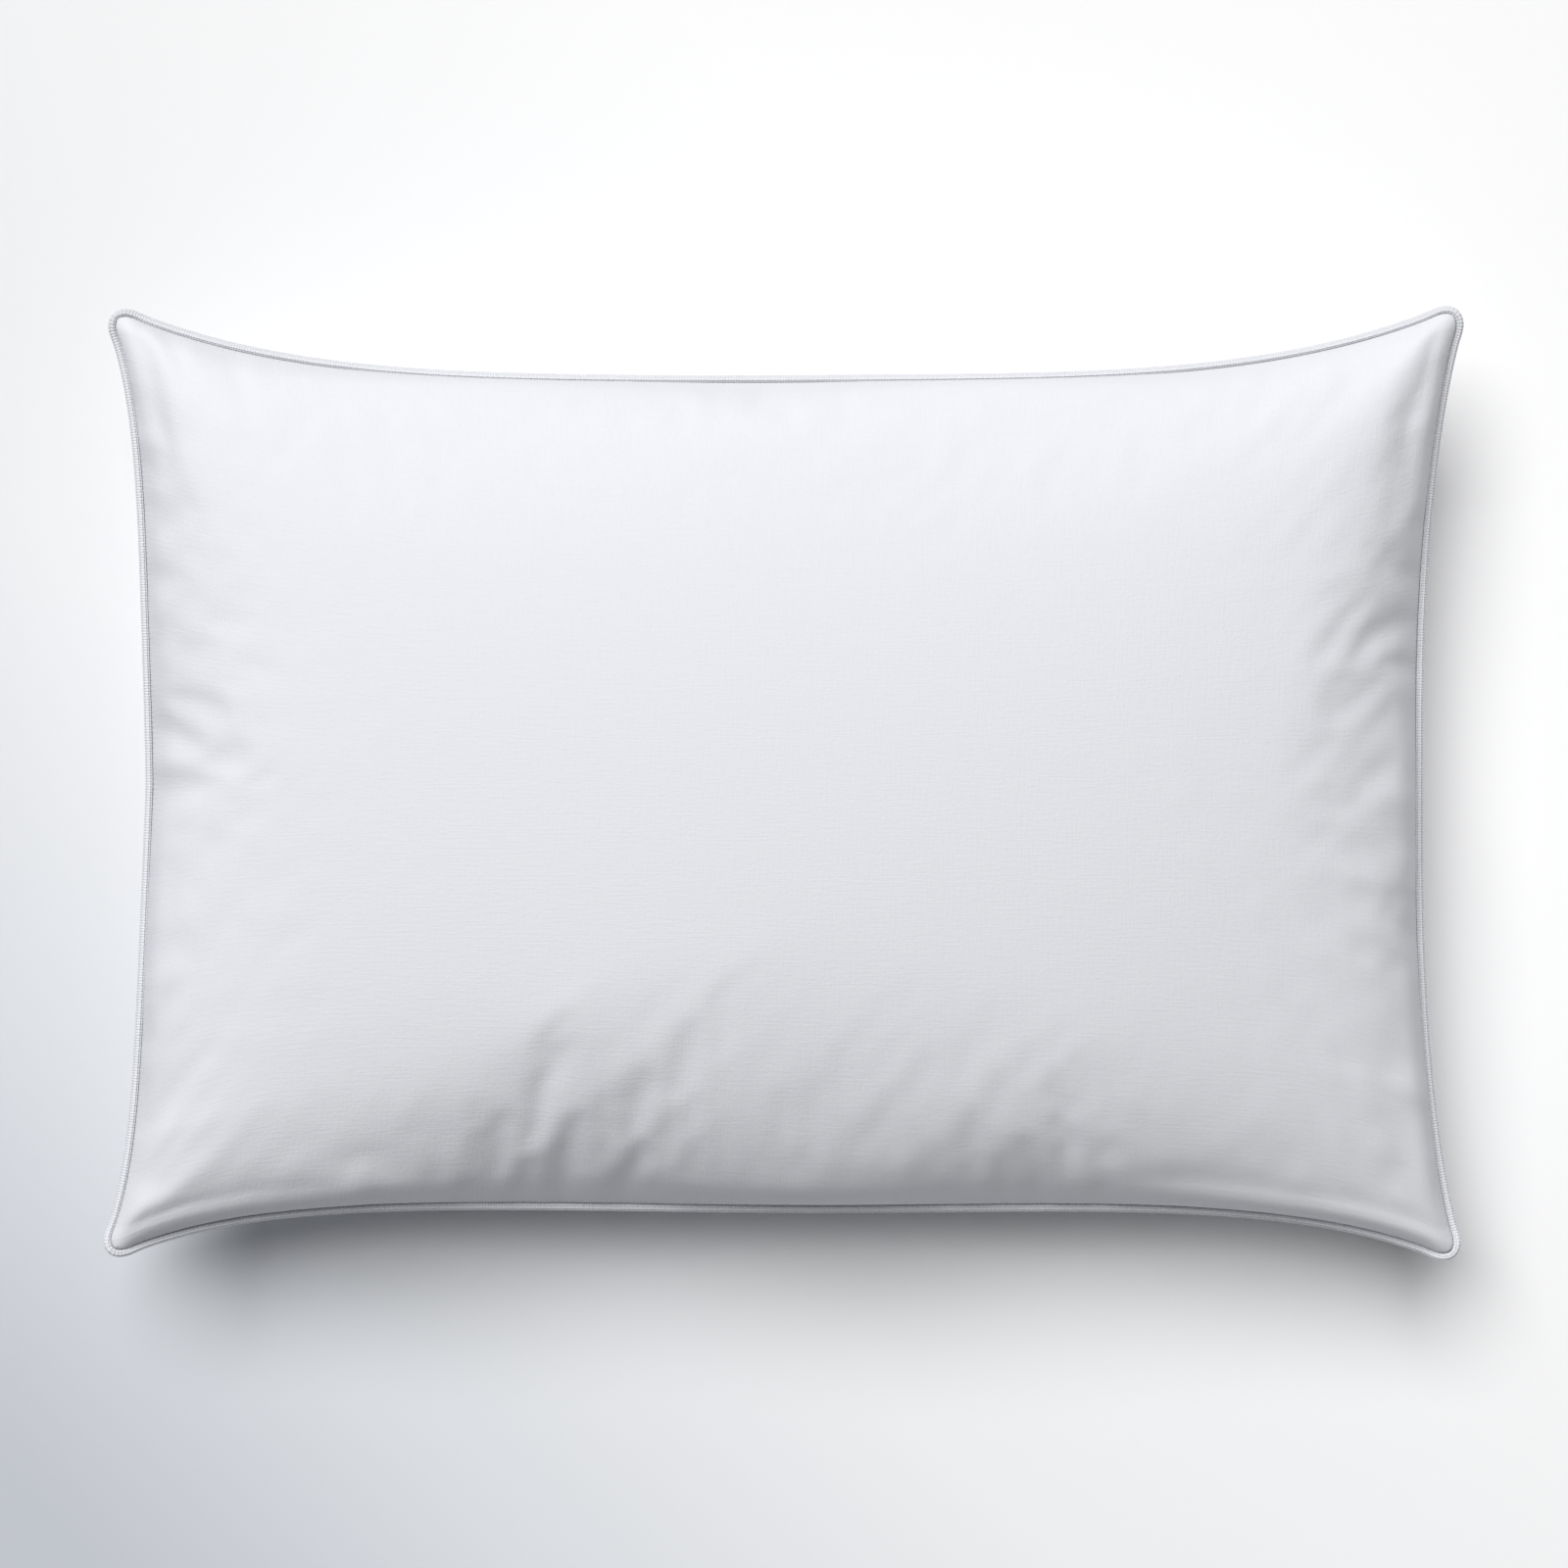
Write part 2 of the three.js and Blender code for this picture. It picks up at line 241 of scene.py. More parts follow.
CORNER_ROUND = 0.0045  # how far a corner moves in, both ways, to be round
CORNER_REACH = 0.015  # how far along the sides that is felt
near_x = np.clip(1 - (cut[0] - np.abs(X)) / CORNER_REACH, 0, 1)
near_y = np.clip(1 - (cut[1] - np.abs(Y)) / CORNER_REACH, 0, 1)
plan_x = X - np.sign(X) * (take_x * drawn(U) + CORNER_ROUND * near_x * near_y**3)
plan_y = Y - np.sign(Y) * (take_y * drawn(V) + CORNER_ROUND * near_y * near_x**3)
print("waist", np.ptp(plan_x[:, cells[1] // 2]), "long and", np.ptp(plan_y[cells[0] // 2]), "wide")

# %% [markdown]
# ## The shape the filling wants
# Before any cloth is simulated, the bag is given a tidy full shape: an elliptical crown above the seam, and
# below it a flank that curls in until the panel runs flat along the floor. The cloth will settle from here,
# which takes a second or two of simulated time instead of a long inflation.

# %% The full shape
CONTACT = 0.62  # share of the underside, from its middle out, that lies flat
FLOOR_GAP = 0.0015  # the simulated cloth keeps this far off the floor

reach_x = np.abs(plan_x) / (cut[0] - take_x)
reach_y = np.abs(plan_y) / (cut[1] - take_y)
full = np.clip((1 - reach_x**2) * (1 - reach_y**2), 0, 1)  # 1 at the centre, 0 on the seam
outwards = np.sqrt(1 - full)
curled = np.clip((outwards - CONTACT) / (1 - CONTACT), 0, None)
top_z = seam_z + crown * 0.96 * np.sqrt(full)
bottom_z = seam_z - (seam_z - FLOOR_GAP) * np.sqrt(1 - curled**2)

# %% [markdown]
# ## Sewing and filling
# Now the cloth is simulated. It starts a little larger than the finished outline, and during the first
# frames the seam is drawn in to its real line, as the piping gathers the panels' edges. The pressure of the
# filling holds the cloth out, the floor holds it up, and the cloth that is now too long for the seam has to
# go somewhere: it stands up in creases that fade out towards the crown. Some seeded unevenness decides
# where each one starts.

# %% Grids into one bag
top_index = np.arange(X.size).reshape(X.shape)
bottom_index = top_index.copy()
bottom_index[~on_seam] = X.size + np.arange((~on_seam).sum())
crossings = X.size + int((~on_seam).sum())


def cell_faces(index, turned=False):
    """The corners of every cell of a grid of point numbers, counter-clockwise, or clockwise if turned."""
    corners = np.stack([index[:-1, :-1], index[1:, :-1], index[1:, 1:], index[:-1, 1:]], -1).reshape(-1, 4)
    return corners[:, ::-1] if turned else corners


def into_bag(top, bottom):
    """One list of points from two grids that share their rims."""
    points = np.zeros((crossings, 3))
    points[bottom_index] = bottom
    points[top_index] = top
    return points


bag_faces = np.concatenate([cell_faces(top_index), cell_faces(bottom_index, turned=True)])

# %% The simulation
EASE_NEAR = 0.0145  # how much longer than its seam the cloth is along the near side
EASE_ENDS = 0.009  # and along the two ends
EASE_FALL = 12  # power of the distance from the centre line by which the ease dies away from the seam
TIGHT = 0.5  # share of the ease that is gone at the corners, which the filling pulls tight
SLIP = 0.0012  # how far the near side's seam is pulled to the left while it is sewn
SLIP_END = 0.0005  # and the right end's seam towards the far side
UNEVEN = 0.0005  # how far the cloth starts out of true, near the seam
WAVES = 40  # sine waves that make it up
SEAM_WAVE = 0.0012  # how far the seam itself rises and falls
SEW_FRAMES = 12
FRAMES = 26
PRESSURE = 2.0
STRETCH = 32

seeded = np.random.default_rng(5)


def uneven(x, y):
    """A sum of sine waves that cross the cloth in seeded directions, 15 to 40 mm from crest to crest."""
    heading, phase = seeded.uniform(0, 2 * np.pi, (2, WAVES))
    number = 2 * np.pi / seeded.uniform(0.015, 0.04, WAVES)
    along = x[..., None] * np.cos(heading) + y[..., None] * np.sin(heading)
    return UNEVEN * np.sin(number * along + phase).sum(-1) / np.sqrt(WAVES / 2)


ease_x = EASE_NEAR * np.clip(-V, 0, 1) ** EASE_FALL
ease_y = EASE_ENDS * np.abs(U) ** EASE_FALL
eased_x = plan_x * (1 + ease_x * (1 - TIGHT * U**6))
eased_y = plan_y * (1 + ease_y * (1 - TIGHT * V**6))
loose = ~on_seam * np.maximum(np.abs(U), np.abs(V)) ** 4  # the crown stays smooth
eased_top = top_z + loose * uneven(X, Y)
eased_bottom = np.maximum(bottom_z + loose * uneven(X, Y), FLOOR_GAP)
eased = into_bag(
    np.stack([eased_x, eased_y, eased_top], -1),
    np.stack([eased_x, eased_y, eased_bottom], -1),
)
pulled = SLIP * (1 - U**2) ** 2 * (V < 0) * np.abs(V) ** 8
lifted = SLIP_END * (1 - V**2) ** 2 * (U > 0) * np.abs(U) ** 8
wave = SEAM_WAVE * np.sin(X / 0.041 + 1.3 * np.sin(Y / 0.057)) * (1 - U**8 * V**8) * on_seam
sewn_x, sewn_y = plan_x - pulled, plan_y + lifted
sewn = into_bag(
    np.stack([sewn_x, sewn_y, top_z + wave], -1),
    np.stack([sewn_x, sewn_y, bottom_z + wave], -1),
)


def sew_and_fill(start, goal):
    """Simulates the bag from `start`, drawing its seam to its place in `goal`. Returns where it settles."""
    mesh = bpy.data.meshes.new("bag")
    mesh.from_pydata(start.tolist(), [], bag_faces.tolist())
    bag = bpy.data.objects.new("bag", mesh)
    bpy.context.collection.objects.link(bag)
    bag.shape_key_add(name="eased")
    gather = bag.shape_key_add(name="sewn")
    gather.data.foreach_set("co", goal.ravel())
    for value, when in ((0.0, 1), (1.0, SEW_FRAMES)):
        gather.value = value
        gather.keyframe_insert("value", frame=when)
    seam_group = bag.vertex_groups.new(name="seam")
    seam_group.add(top_index[on_seam].tolist(), 1.0, "REPLACE")

    cloth = bag.modifiers.new("cloth", "CLOTH")
    ticking = cloth.settings
    ticking.quality = 8
    ticking.mass = 0.0003
    ticking.tension_stiffness = ticking.compression_stiffness = STRETCH
    ticking.shear_stiffness = 5
    ticking.bending_stiffness = 0.5
    ticking.tension_damping = ticking.compression_damping = ticking.shear_damping = 0.5
    ticking.bending_damping = 0.05
    ticking.air_damping = 1
    ticking.vertex_group_mass = "seam"
    ticking.use_pressure = True
    ticking.uniform_pressure_force = PRESSURE
    ticking.effector_weights.gravity = 0
    cloth.collision_settings.distance_min = 0.001
    cloth.point_cache.frame_end = FRAMES

    ground_mesh = bpy.data.meshes.new("ground")
    ground_mesh.from_pydata([(-1, -1, 0), (1, -1, 0), (1, 1, 0), (-1, 1, 0)], [], [(0, 1, 2, 3)])
    ground = bpy.data.objects.new("ground", ground_mesh)
    bpy.context.collection.objects.link(ground)
    ground.modifiers.new("collision", "COLLISION")
    ground.collision.thickness_outer = 0.001

    scene = bpy.context.scene
    scene.frame_start, scene.frame_end = 1, FRAMES
    for now in range(1, FRAMES + 1):
        scene.frame_set(now)
    settled = np.empty(crossings * 3)
    result = bag.evaluated_get(bpy.context.evaluated_depsgraph_get()).to_mesh()
    result.vertices.foreach_get("co", settled)
    scene.frame_set(1)
    for used in (bag, ground):
        bpy.data.objects.remove(used)
    return settled.reshape(-1, 3)


filled = sew_and_fill(eased, sewn)
print("filled: highest", filled[:, 2].max(), "lowest", filled[:, 2].min())

# %% [markdown]
# Air pressure knows nothing of weight, and leaves a round crown. Down sinks where most of it lies over
# itself, which flattens the crown and leaves the flanks steep. With t the height over the seam as a share of
# the highest, each point goes to t^0.68 of the pillow's own height. The underside is let down evenly until
# it rests on the floor, and the seam stays where it was sewn.

# %% Sinking
SINK = 0.68
REST = 0.0002  # the underside's lowest point over the floor

free = np.ones(crossings, bool)
free[top_index[on_seam]] = False
above = free & (filled[:, 2] > seam_z)
height = filled[above, 2] - seam_z
filled[above, 2] = seam_z + crown * (height / height.max()) ** SINK
print("let down from", round(height.max(), 4), "to", round(crown, 4), "over the seam")

below = free & (filled[:, 2] < seam_z)
depth = seam_z - filled[below, 2]
filled[below, 2] = seam_z - (seam_z - REST) * depth / depth.max()
print("underside down from", round(seam_z - depth.max(), 4), "to", REST)

top_grid = filled[top_index]
bottom_grid = filled[bottom_index]

# %% [markdown]
# ## The stitch line
# Everything round the edge hangs on one curve: the line where the two panels meet. The crossings on the rim
# of the grid are control points, and a cubic B-spline rounds them into a smooth loop. A Subdivision Surface
# rounds a mesh's edge by the same rule, so the panels' edges follow the loop closely.


# %% One closed curve
def around(grid):
    """The outermost crossings of a grid as one closed loop, counter-clockwise seen from above."""
    return np.concatenate([grid[:-1, 0], grid[-1, :-1], grid[:0:-1, -1], grid[0, :0:-1]])


def spline(loop, parts):
    """A smooth closed curve, `parts` steps to a control point. Each point is a mean of four neighbouring
    controls with weights (1-t)^3, 3t^3-6t^2+4, -3t^3+3t^2+3t+1 and t^3, over 6, as t runs from 0 to 1."""
    t = np.arange(parts)[:, None] / parts
    weights = np.hstack([(1 - t) ** 3, 3 * t**3 - 6 * t**2 + 4, -3 * t**3 + 3 * t**2 + 3 * t + 1, t**3]) / 6
    near = np.stack([np.roll(loop, shift, 0) for shift in (1, 0, -1, -2)], 1)
    return (weights @ near).reshape(-1, loop.shape[1])


def unit(vectors):
    return vectors / np.linalg.norm(vectors, axis=-1, keepdims=True)


def run_of(loop):
    """The distance travelled along a closed loop up to each of its points, and its whole length."""
    steps = np.linalg.norm(np.roll(loop, -1, 0) - loop, axis=1)
    return np.concatenate([[0], np.cumsum(steps)[:-1]]), steps.sum()


stitch_line = spline(around(top_grid), 4)
seam_run, seam_length = run_of(stitch_line)
ahead = unit((np.roll(stitch_line, -1, 0) - np.roll(stitch_line, 1, 0)) * [1, 1, 0])
out = np.stack([ahead[:, 1], -ahead[:, 0]], -1)
print("stitch line", round(seam_length, 3), "m in", len(stitch_line), "points")


def beside_seam(outward, up, line=stitch_line, away=out):
    """Points beside the stitch line, one row for each (outward, up) pair. Outwards they follow the line's own
    normal. Inwards, where corners would cross, the whole loop is shrunk: x (1 - inward / half length)."""
    outward, up = np.atleast_1d(outward), np.atleast_1d(up)
    beyond = np.clip(outward, 0, None)[None, :, None]
    within = np.clip(-outward, 0, None)[None, :, None]
    plan = line[:, None, :2] * (1 - within / tip) + beyond * away[:, None]
    return np.concatenate([plan, line[:, None, 2:] + up[None, :, None] + 0 * plan[..., :1]], -1)


# %% [markdown]
# ## From arrays to pieces
# A surface here is a grid of points. Its faces are the grid's cells, and where the surface closes on itself
# the last column is joined to the first. Whether its faces look outwards is decided by its volume: the sum
# of the small pyramids between each face and the origin is negative when they all look inwards, and then
# they are turned.


# %% Mesh helpers
def wrapped_faces(rows, columns, wrap_rows=False, wrap_columns=False):
    """The cells of a grid of rows by columns points, joined round where asked."""
    index = np.arange(rows * columns).reshape(rows, columns)
    if wrap_rows:
        index = np.concatenate([index, index[:1]], 0)
    if wrap_columns:
        index = np.concatenate([index, index[:, :1]], 1)
    return cell_faces(index)


def volume(points, faces):
    """Sum over the faces' triangles of a . (b x c) / 6."""
    a, b, c, d = (points[faces[:, k]] for k in range(4))
    halves = np.einsum("ij,ij->i", a, np.cross(b, c)) + np.einsum("ij,ij->i", a, np.cross(c, d))
    return halves.sum() / 6


def piece(name, points, faces, finish, uv=None, lap=None, closed=True, smooth=True):
    """A mesh object of four-cornered faces, with a UV map in metres if `uv` gives each point's place. Where a
    closed strip `lap` long meets its own start, the map runs on past the end instead of jumping to 0."""
    points = np.asarray(points, float).reshape(-1, 3)
    if closed and volume(points, faces) < 0:
        faces = faces[:, ::-1]
    mesh = bpy.data.meshes.new(name)
    mesh.from_pydata(points.tolist(), [], faces.tolist())
    mesh.polygons.foreach_set("use_smooth", [smooth] * len(mesh.polygons))
    if uv is not None:
        corners = np.empty(len(mesh.loops), int)
        mesh.loops.foreach_get("vertex_index", corners)
        layer = mesh.uv_layers.new(name="cut")
        places = np.asarray(uv, float).reshape(-1, 2)[corners].reshape(-1, 4, 2)
        if lap is not None:
            jumps = np.ptp(places[..., 1], axis=1, keepdims=True) > lap / 2
            places[..., 1] += lap * (jumps & (places[..., 1] < lap / 2))
        layer.data.foreach_set("uv", places.ravel())
    mesh.materials.append(finish)
    made = bpy.data.objects.new(name, mesh)
    bpy.context.collection.objects.link(made)
    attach(made, "root")
    print(name, len(mesh.vertices), "points,", len(mesh.polygons), "faces")
    return made


# %% [markdown]
# ## Ticking
# Down finds its way out through loose cloth, so a pillow's panels are cut from ticking: a cotton woven very
# closely from fine yarn and ironed hard until it has a faint sheen. Its finish is built in layers, each at
# its own scale on the cut cloth: the weave itself, slubs where a yarn is thicker, soft lumps where down
# presses from inside, small puckers that run in from the seam, a dimple at each stitch, and thin pleats
# along the two ends.

# %% Ticking
YARN = 0.00042  # from one yarn to the next
SLUB = 0.004
PEBBLE = 0.0022  # the small unevenness of pressed cotton over feathers
LUMP = 0.03
PUCKER = 0.011  # from one stitch pucker to the next
PUCKER_REACH = 0.012  # how far puckers run in from the seam
DIMPLE = 0.0028  # from one stitch's dimple to the next, on the cut
DIMPLE_REACH = 0.0008
PLEAT = 0.022  # from one thin pleat to the next, along the two ends
PLEAT_REACH = 0.035


def cut_place(made):
    """The place on the flat cut, in metres, from the piece's own UV map."""
    return add(made, "UVMap", {"uv_map": "cut"}).outputs["UV"]


def weave(made, place, pitch):
    """Plain weave: crests of warp and weft that alternate, by sin(pi x / pitch) sin(pi y / pitch)."""
    parts = add(made, "SeparateXYZ", None, Vector=place)
    crests = [maths(made, "SINE", maths(made, "MULTIPLY", parts.outputs[k], np.pi / pitch)) for k in (0, 1)]
    return maths(made, "MULTIPLY", *crests)


def cloud(made, place, size, detail=2.0, stretch=(1, 1, 1)):
    """Soft noise with features about `size` across, drawn out by `stretch`."""
    scaled = add(made, "VectorMath", {"operation": "MULTIPLY"}, _0=place, _1=stretch).outputs["Vector"]
    return add(made, "TexNoise", None, Vector=scaled, Scale=1 / size, Detail=detail).outputs["Fac"]


def bump(made, shader, layers):
    """Stacks bumps one on another. Each layer is (height from 0 to 1, metres it stands up, strength)."""
    normal = None
    for height, rise, strength in layers:
        step = add(made, "Bump", None, Strength=strength, Distance=rise, Height=height)
        if normal is not None:
            link(made, normal, step.inputs["Normal"])
        normal = step.outputs["Normal"]
    link(made, normal, shader.inputs["Normal"])


def tinted(made, shader, factor, low, high):
    """Base colour between two near shades, by a factor from 0 to 1."""
    shade = add(made, "Mix", {"data_type": "RGBA"}, Factor=factor)
    shade.inputs["A"].default_value = (*low, 1)
    shade.inputs["B"].default_value = (*high, 1)
    link(made, shade.outputs["Result"], shader.inputs["Base Color"])


ticking_cloth, ticking_shader = material("ticking", (0.78, 0.787, 0.825), 0.85, sheen=0.03)
flat_place = cut_place(ticking_cloth)
yarns = weave(ticking_cloth, flat_place, YARN)
slubs_along = cloud(ticking_cloth, flat_place, SLUB, stretch=(0.25, 3, 1))
slubs_across = cloud(ticking_cloth, flat_place, SLUB, stretch=(3, 0.25, 1))
slubs = maths(ticking_cloth, "ADD", slubs_along, slubs_across)
lumps = cloud(ticking_cloth, flat_place, LUMP, detail=3.0)
pebbles = cloud(ticking_cloth, flat_place, PEBBLE, detail=3.0)

flat_parts = add(ticking_cloth, "SeparateXYZ", None, Vector=flat_place)
inset_x = maths(ticking_cloth, "SUBTRACT", cut[0], maths(ticking_cloth, "ABSOLUTE", flat_parts.outputs[0]))
inset_y = maths(ticking_cloth, "SUBTRACT", cut[1], maths(ticking_cloth, "ABSOLUTE", flat_parts.outputs[1]))
inset = maths(ticking_cloth, "MINIMUM", inset_x, inset_y)
near_seam = maths(ticking_cloth, "POWER", np.e, maths(ticking_cloth, "DIVIDE", inset, -PUCKER_REACH))
puckers = maths(ticking_cloth, "MULTIPLY", near_seam, cloud(ticking_cloth, flat_place, PUCKER, detail=1.0))


def dimples(along, inward):
    """A dimple to a stitch: (1 + sin(2 pi along / pitch)) / 2, dying away inwards as e^(-inward / reach)."""
    swell = maths(ticking_cloth, "SINE", maths(ticking_cloth, "MULTIPLY", along, 2 * np.pi / DIMPLE))
    fall = maths(ticking_cloth, "POWER", np.e, maths(ticking_cloth, "DIVIDE", inward, -DIMPLE_REACH))
    rise = maths(ticking_cloth, "ADD", maths(ticking_cloth, "MULTIPLY", swell, 0.5), 0.5)
    return maths(ticking_cloth, "MULTIPLY", rise, fall)


along_sides = dimples(flat_parts.outputs[0], inset_y)
along_ends = dimples(flat_parts.outputs[1], inset_x)
held = maths(ticking_cloth, "ADD", along_sides, along_ends)
near_end = maths(ticking_cloth, "POWER", np.e, maths(ticking_cloth, "DIVIDE", inset_x, -PLEAT_REACH))
ridges = cloud(ticking_cloth, flat_place, PLEAT, detail=0.0, stretch=(0.08, 1, 1))
pleats = maths(ticking_cloth, "MULTIPLY", near_end, maths(ticking_cloth, "POWER", ridges, 3.0))

slubbed = spread(ticking_cloth, slubs, 0.0, 1.0)
tinted(ticking_cloth, ticking_shader, slubbed, (0.762, 0.770, 0.810), (0.798, 0.805, 0.840))
link(ticking_cloth, spread(ticking_cloth, lumps, 0.78, 0.92), ticking_shader.inputs["Roughness"])
layers = [(held, 0.0006, 0.7), (pleats, 0.004, 0.7), (puckers, 0.0008, 0.5), (lumps, 0.0004, 0.2)]
layers += [(slubs, 0.00022, 0.5), (pebbles, 0.00022, 0.5), (yarns, 0.00005, 0.4)]
bump(ticking_cloth, ticking_shader, layers)
print("ticking has", len(ticking_cloth.node_tree.nodes), "nodes")

# %% [markdown]
# ## The panels
# A panel ends at the seam by turning in: its last few millimetres lie inside, flat against the other
# layers. Its rim is moved out to the fold, up against the piping, and three extra loops of points make the
# turn. The first lies close under the fold, which keeps it tight when the Subdivision Surface rounds
# everything. Solidify then gives the cloth its thickness on the inside.

# %% Panels
TICKING = 0.0006
ALLOWANCE = 0.006
FOLD = np.array([0.0012, 0.0019])  # each panel's fold, outward from the stitch line and up or down from it
TURN = 0.0008  # how far inside the stitch line the cloth has turned flat
LAYERS_UP = (0.0013, 0.0008, 0.00075)  # the turned-in cloth's height over the seam's plane at its three loops


def panel_points(grid, side):
    """The panel's crossings, with its rim moved out to the fold and its allowance turned in beyond that. `side`
    is 1 for the top panel and -1 for the bottom one. Returns points, their places on the cut, and faces."""
    flat = np.stack([X, Y], -1)
    flat_rim = around(flat)
    index = np.arange(grid.shape[0] * grid.shape[1]).reshape(grid.shape[:2])
    held = grid.copy()
    rim_index = around(index[..., None])[:, 0]
    rim = around(grid)
    towards = unit((np.roll(rim, -1, 0) - np.roll(rim, 1, 0))[:, :2])
    outwards_plan = np.stack([towards[:, 1], -towards[:, 0], 0 * towards[:, 0]], -1)
    fold = rim + FOLD[0] * outwards_plan + [0, 0, side * FOLD[1]]
    held[on_seam_order(index)] = fold
    turns = list(zip((TURN, ALLOWANCE / 2, ALLOWANCE), LAYERS_UP))
    loops = [rim * [1 - d / tip[0], 1 - d / tip[1], 1] + [0, 0, side * up] for d, up in turns]
    flats = [flat_rim * (1 + d / cut) for d, up in turns]
    points = np.concatenate([held.reshape(-1, 3), *loops])
    places = np.concatenate([flat.reshape(-1, 2), *flats])
    count = len(rim)
    starts = [rim_index] + [index.size + k * count + np.arange(count) for k in range(3)]
    strips = [np.stack([a, np.roll(a, -1), np.roll(b, -1), b], -1) for a, b in zip(starts[1:], starts[:-1])]
    faces = np.concatenate([cell_faces(index), *strips])
    return points, places, faces if side > 0 else faces[:, ::-1]


def on_seam_order(index):
    """Row and column of each rim crossing, in the order in which around() visits them."""
    return np.unravel_index(around(index[..., None])[:, 0], index.shape)


def panel(name, grid, side, node):
    """One panel as a shell of cloth, over the CAD node it stands for."""
    points, places, faces = panel_points(grid, side)
    made = piece(name, points, faces, ticking_cloth, uv=places, closed=False)
    rounding = made.modifiers.new("rounding", "SUBSURF")
    rounding.levels = rounding.render_levels = 1
    thickness = made.modifiers.new("thickness", "SOLIDIFY")
    thickness.thickness = TICKING
    thickness.offset = -1
    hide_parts(node)
    return made


panel("top_cloth", top_grid, 1, "top_panel")
panel("bottom_cloth", bottom_grid, -1, "bottom_panel")

# %% [markdown]
# ## Piping
# Piping is a cotton cord wrapped in a strip of cotton cut on the bias, at 45 degrees to the yarns, because
# only a bias strip stretches enough to follow a corner without creasing. The strip's two edges run in
# between the panels as tails and are caught by the seam. In section that makes a keyhole: round outside,
# flat inside.

# %% Piping cloth finish
BIAS_YARN = 0.00095  # the strip is coarser than the ticking, and stretched open round the cord

bias_cloth, bias_shader = material("piping_cloth", (0.78, 0.787, 0.82), 0.85, sheen=0.03)
bias_place = cut_place(bias_cloth)
on_the_bias = add(bias_cloth, "Mapping", None, Vector=bias_place, Rotation=(0, 0, np.radians(45)))
bias_yarns = weave(bias_cloth, on_the_bias.outputs["Vector"], BIAS_YARN)
gathers = cloud(bias_cloth, bias_place, 0.005, detail=1.0, stretch=(1, 0.3, 1))
tinted(bias_cloth, bias_shader, gathers, (0.75, 0.757, 0.797), (0.79, 0.797, 0.83))
link(bias_cloth, spread(bias_cloth, gathers, 0.72, 0.88), bias_shader.inputs["Roughness"])
bump(bias_cloth, bias_shader, [(gathers, 0.0005, 0.6), (bias_yarns, 0.00025, 0.9)])

# %% The keyhole section, carried round
COVER = PIPING / 2  # radius over the cloth
WALL = 0.0005
TAIL = 0.0062


def keyhole():
    """The section's outline as (outward, up) pairs: round the cord outside, along a tail, back inside it."""
    turn = np.radians(np.linspace(163, -163, 22))
    outer = COVER * np.stack([1 + np.cos(turn), np.sin(turn)], -1)
    inner = np.stack([COVER + (COVER - WALL) * np.cos(turn), (COVER - WALL) * np.sin(turn)], -1)[::-1]
    lower = np.array([[-0.0008, -0.00058], [-TAIL, -0.00058], [-TAIL, -0.00008], [-0.0008, -0.00008]])
    upper = lower[::-1] * [1, -1]
    return np.concatenate([outer, lower, inner, upper])


section = keyhole()
cover_grid = beside_seam(section[:, 0], section[:, 1])
around_run = np.concatenate([[0], np.cumsum(np.linalg.norm(np.diff(section, axis=0), axis=1))])
cover_uv = np.stack(np.broadcast_arrays(around_run[None, :], seam_run[:, None]), -1)
cover_faces = wrapped_faces(*cover_grid.shape[:2], wrap_rows=True, wrap_columns=True)
cover = piece("piping_bias_cloth", cover_grid, cover_faces, bias_cloth, uv=cover_uv, lap=seam_length)
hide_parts("piping_cover")

# %% [markdown]
# ## The cord inside
# Filler cord is three soft strands laid together. A section of three lobes, turned a little further at each
# step along the seam, winds them round each other.

# %% Filler cord
LAY = 0.012  # one full turn of the strands
CORD = COVER - WALL - 0.0001

cord_cotton, cord_shader = material("filler_cord", (0.80, 0.78, 0.72), 0.95, sheen=0.3)
cord_object = add(cord_cotton, "TexCoord").outputs["Object"]
fibres = cloud(cord_cotton, cord_object, 0.0006, detail=4.0)
tinted(cord_cotton, cord_shader, fibres, (0.74, 0.72, 0.66), (0.86, 0.84, 0.79))
bump(cord_cotton, cord_shader, [(fibres, 0.0002, 0.8)])

turn = np.linspace(0, 2 * np.pi, 18, endpoint=False)
turns = round(seam_length / LAY)
wound = turn[None, :] + 2 * np.pi * turns * seam_run[:, None] / seam_length
lobes = CORD * (0.84 + 0.16 * np.abs(np.cos(1.5 * wound)))


def round_seam(radius, angle, centre=COVER):
    """A tube round a line `centre` outside the stitch line: centre + radius (cos angle, sin angle)."""
    plan = stitch_line[:, None, :2] + (centre + radius * np.cos(angle))[..., None] * out[:, None]
    return np.concatenate([plan, (stitch_line[:, None, 2] + radius * np.sin(angle))[..., None]], -1)


cord_grid = round_seam(lobes, turn[None, :] + 0 * lobes)
cord_faces = wrapped_faces(*cord_grid.shape[:2], wrap_rows=True, wrap_columns=True)
filler = piece("filler_cord", cord_grid, cord_faces, cord_cotton)
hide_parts("piping_cord")

# %% [markdown]
# ## Threads
# Two rows of machine stitches lie in the ditches above and below the piping. One stitch is a short length
# of thread that rises from its hole and dives back into the next: an ellipse of few sides whose radius and
# height both go to nothing at its ends. All stitches of a row are worked out at once, as one array.

# %% Thread finish
thread_cotton, thread_shader = material("thread", (0.80, 0.805, 0.83), 0.7, sheen=0.1)
thread_object = add(thread_cotton, "TexCoord").outputs["Object"]
twist = cloud(thread_cotton, thread_object, 0.0005, detail=2.0)
tinted(thread_cotton, thread_shader, twist, (0.74, 0.745, 0.77), (0.84, 0.845, 0.87))
bump(thread_cotton, thread_shader, [(twist, 0.0001, 0.6)])

THREAD = 0.0004
RINGS = np.array([0.0, 0.12, 0.5, 0.88, 1.0])  # places along a stitch, from its hole to the next
SIDES = 6


